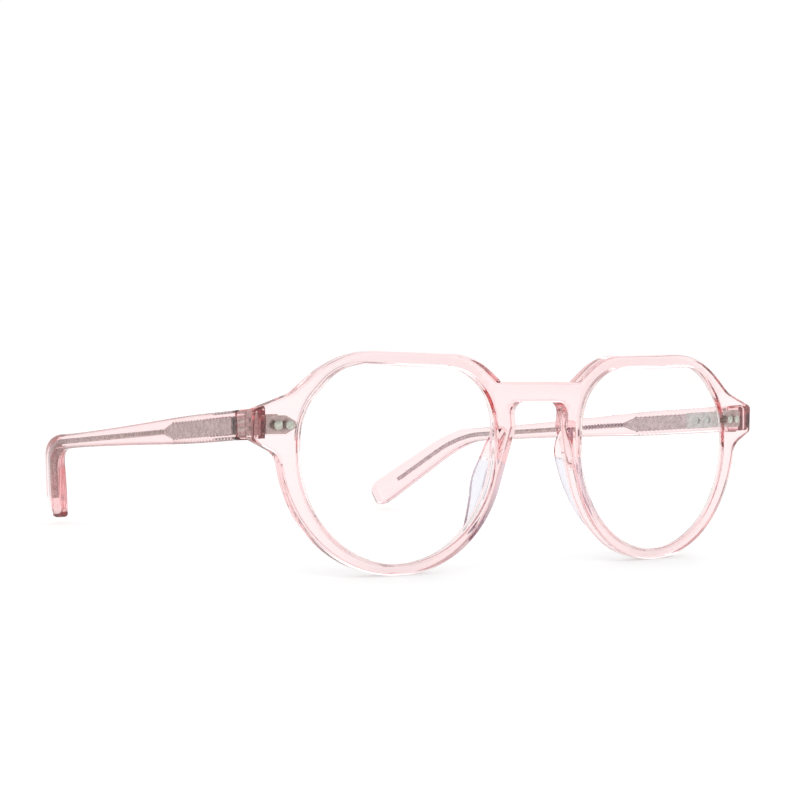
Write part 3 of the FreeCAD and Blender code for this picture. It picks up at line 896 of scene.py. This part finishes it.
def coated_lens():
    """Clear lens whose coating sends back a faint blue light."""
    material, nodes, links, shader = new_material("coated lens")
    shader.inputs["Transmission Weight"].default_value = 1.0
    shader.inputs["IOR"].default_value = 1.5
    shader.inputs["Specular Tint"].default_value = (0.62, 0.66, 1.0, 1)
    tint(nodes, links, noise(nodes, links, 40.0), (0.992, 0.992, 0.985), (1.0, 1.0, 0.996),
         shader.inputs["Base Color"])
    spread(nodes, links, noise(nodes, links, 500.0), 0.0, 0.008, shader.inputs["Roughness"])
    return material


def metal(name, dark, light, smoothest, roughest, scale):
    """Plated metal with a slightly uneven polish."""
    material, nodes, links, shader = new_material(name)
    shader.inputs["Metallic"].default_value = 1.0
    fine = noise(nodes, links, scale, 4.0)
    tint(nodes, links, fine, dark, light, shader.inputs["Base Color"])
    spread(nodes, links, noise(nodes, links, scale * 2), smoothest, roughest, shader.inputs["Roughness"])
    ripple(nodes, links, fine, METAL_RIPPLE, shader)
    return material


# ---- stage ----
def camera_matrix():
    """The camera's place and the way it looks."""
    right, up = Vector(CAMERA_RIGHT), Vector(CAMERA_UP)
    matrix = Matrix((right, up, right.cross(up))).transposed().to_4x4()
    matrix.translation = Vector(CAMERA_PLACE)
    return matrix


def softbox(name, place, size, power):
    """Wide light aimed at the middle of the spectacles' footprint."""
    light = bpy.data.lights.new(name, "AREA")
    light.shape = "RECTANGLE"
    light.size, light.size_y = size
    light.energy = power
    obj = bpy.data.objects.new(name, light)
    bpy.context.scene.collection.objects.link(obj)
    obj.rotation_euler = (-Vector(place)).to_track_quat("-Z", "Y").to_euler()
    obj.location = place
    return obj


def surroundings(strength):
    """White studio, a little darker overhead, so that polished edges show a line."""
    world = bpy.data.worlds.new("surroundings")
    world.use_nodes = True
    nodes = world.node_tree.nodes
    links = world.node_tree.links
    place = nodes.new("ShaderNodeTexCoord")
    split = nodes.new("ShaderNodeSeparateXYZ")
    ramp = nodes.new("ShaderNodeValToRGB")
    links.new(place.outputs["Generated"], split.inputs["Vector"])
    links.new(split.outputs["Z"], ramp.inputs["Fac"])
    links.new(ramp.outputs["Color"], nodes["Background"].inputs["Color"])
    for stop, (height, grey) in zip(ramp.color_ramp.elements, SKY_STOPS):
        stop.position = height
        stop.color = (grey, grey, grey, 1)
    nodes["Background"].inputs["Strength"].default_value = strength
    return world


class SPECTACLES_OT_stage(bpy.types.Operator):
    """Set the white floor, the soft light and the camera"""
    bl_idname = "spectacles.stage"
    bl_label = "Stage"

    def execute(self, context):
        settings = context.scene.spectacles_stage
        bm = bmesh.new()
        bmesh.ops.create_grid(bm, x_segments=1, y_segments=1, size=FLOOR_REACH)
        floor = to_object("floor", bm)
        material, nodes, links, shader = new_material("floor")
        shader.inputs["Roughness"].default_value = 0.8
        tint(nodes, links, noise(nodes, links, 3.0), (0.92, 0.92, 0.92), (0.94, 0.94, 0.94),
             shader.inputs["Base Color"])
        shader.inputs["Emission Color"].default_value = (1, 1, 1, 1)
        shader.inputs["Emission Strength"].default_value = settings.floor_glow
        floor.data.materials.append(material)
        lights = [softbox("key", KEY_PLACE, KEY_SIZE, settings.key_power),
                  softbox("rim", RIM_PLACE, RIM_SIZE, settings.key_power * RIM_SHARE)]
        context.scene.world = surroundings(settings.world_light)
        camera = bpy.data.cameras.new("camera")
        camera.sensor_width = SENSOR_WIDTH
        camera.lens = settings.focal_length
        camera.clip_start, camera.clip_end = CLIP_RANGE
        holder = bpy.data.objects.new("camera", camera)
        context.scene.collection.objects.link(holder)
        holder.matrix_world = camera_matrix()
        context.scene.camera = holder
        context.scene.view_settings.view_transform = "Standard"
        context.scene.cycles.max_bounces = MOST_BOUNCES
        context.scene.cycles.glossy_bounces = GLOSSY_BOUNCES
        context.scene.cycles.transmission_bounces = TRANSMISSION_BOUNCES
        return {"FINISHED"}


# ---- add-on ----
class SPECTACLES_PT_panel(bpy.types.Panel):
    """Buttons for each part of the spectacles"""
    bl_label = "Spectacles"
    bl_idname = "SPECTACLES_PT_panel"
    bl_space_type = "VIEW_3D"
    bl_region_type = "UI"
    bl_category = "Spectacles"

    def draw(self, context):
        column = self.layout.column()
        for step in STEPS:
            column.operator(step.bl_idname)
        for group in ("spectacles_acetate", "spectacles_stage", "spectacles_detail"):
            settings = getattr(context.scene, group)
            for name in settings.__annotations__:
                column.prop(settings, name)


STEPS = (
    SPECTACLES_OT_stage, SPECTACLES_OT_front, SPECTACLES_OT_lenses, SPECTACLES_OT_nose_pads,
    SPECTACLES_OT_temples, SPECTACLES_OT_cores, SPECTACLES_OT_rivets, SPECTACLES_OT_hinges,
)
CLASSES = (SpectaclesAcetate, SpectaclesStage, SpectaclesDetail, *STEPS, SPECTACLES_PT_panel)


def register():
    for cls in CLASSES:
        bpy.utils.register_class(cls)
    bpy.types.Scene.spectacles_acetate = PointerProperty(type=SpectaclesAcetate)
    bpy.types.Scene.spectacles_stage = PointerProperty(type=SpectaclesStage)
    bpy.types.Scene.spectacles_detail = PointerProperty(type=SpectaclesDetail)


def unregister():
    del bpy.types.Scene.spectacles_detail
    del bpy.types.Scene.spectacles_stage
    del bpy.types.Scene.spectacles_acetate
    for cls in reversed(CLASSES):
        bpy.utils.unregister_class(cls)


def main():
    register()
    bpy.ops.spectacles.stage()
    bpy.ops.spectacles.front()
    bpy.ops.spectacles.lenses()
    bpy.ops.spectacles.nose_pads()
    bpy.ops.spectacles.temples()
    bpy.ops.spectacles.cores()
    bpy.ops.spectacles.rivets()
    bpy.ops.spectacles.hinges()


if __name__ == "__main__":
    main()
